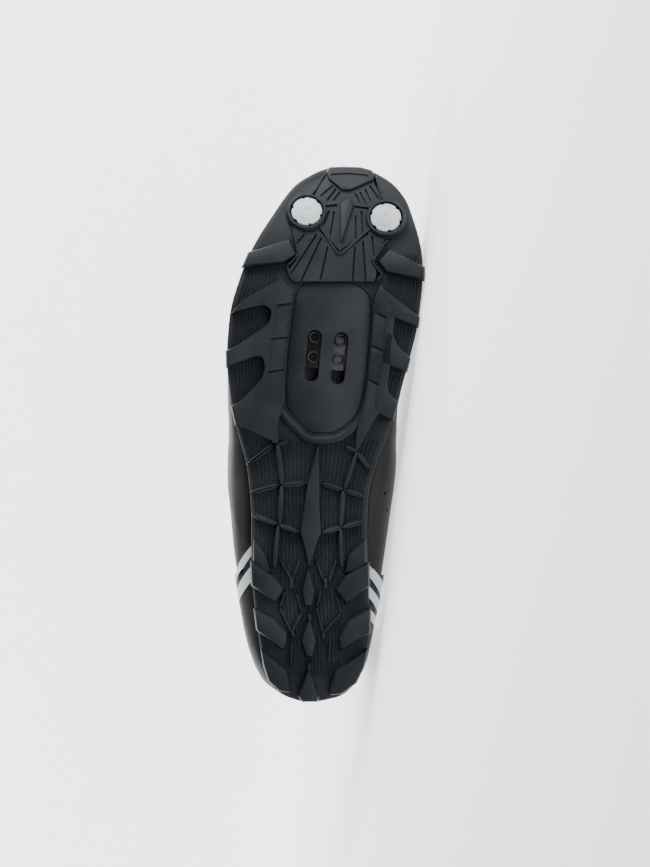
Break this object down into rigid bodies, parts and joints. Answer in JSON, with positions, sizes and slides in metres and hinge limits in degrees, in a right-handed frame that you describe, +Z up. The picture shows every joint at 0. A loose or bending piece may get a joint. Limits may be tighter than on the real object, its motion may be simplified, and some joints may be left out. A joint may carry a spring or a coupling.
{
  "type": "cycling shoe",
  "caption": "Low-cut off-road cycling shoe with a lugged sole, a recessed cleat pocket with slotted bolt holes, padded collar and strap closure.",
  "frame": {"origin": "middle of the shoe's bounding box, on the ground that it lies on", "axes": "the shoe lies on its medial side: +X towards the toe, -Y out of the sole, +Z up, towards its lateral side"},
  "size_m": [0.2872, 0.1124, 0.1005],
  "materials": {
    "outsole_rubber": "moulded hard rubber, satin, slightly bluish black",
    "sole_nylon": "moulded glass-filled nylon, satin",
    "plate_steel": "dark zinc-plated steel",
    "cap_plastic": "silver-grey moulded plastic",
    "upper_leather": "black synthetic leather with a fine grain",
    "overlay_rubber": "black coated overlay, satin",
    "tongue_fabric": "black padded mesh",
    "insole_fabric": "dark grey fabric over foam",
    "strap_fabric": "black woven hook-and-loop strap"
  },
  "bodies": {
    "root": {"outsole": "outsole_rubber", "midsole": "sole_nylon", "nut_plate": "plate_steel", "spike_cap_lateral": "cap_plastic", "spike_cap_medial": "cap_plastic", "upper": "upper_leather", "toe_cap": "overlay_rubber", "heel_counter": "overlay_rubber", "tongue": "tongue_fabric", "insole": "insole_fabric", "strap_front": "strap_fabric", "strap_middle": "strap_fabric", "strap_top": "strap_fabric"}
  },
  "joints": []
}
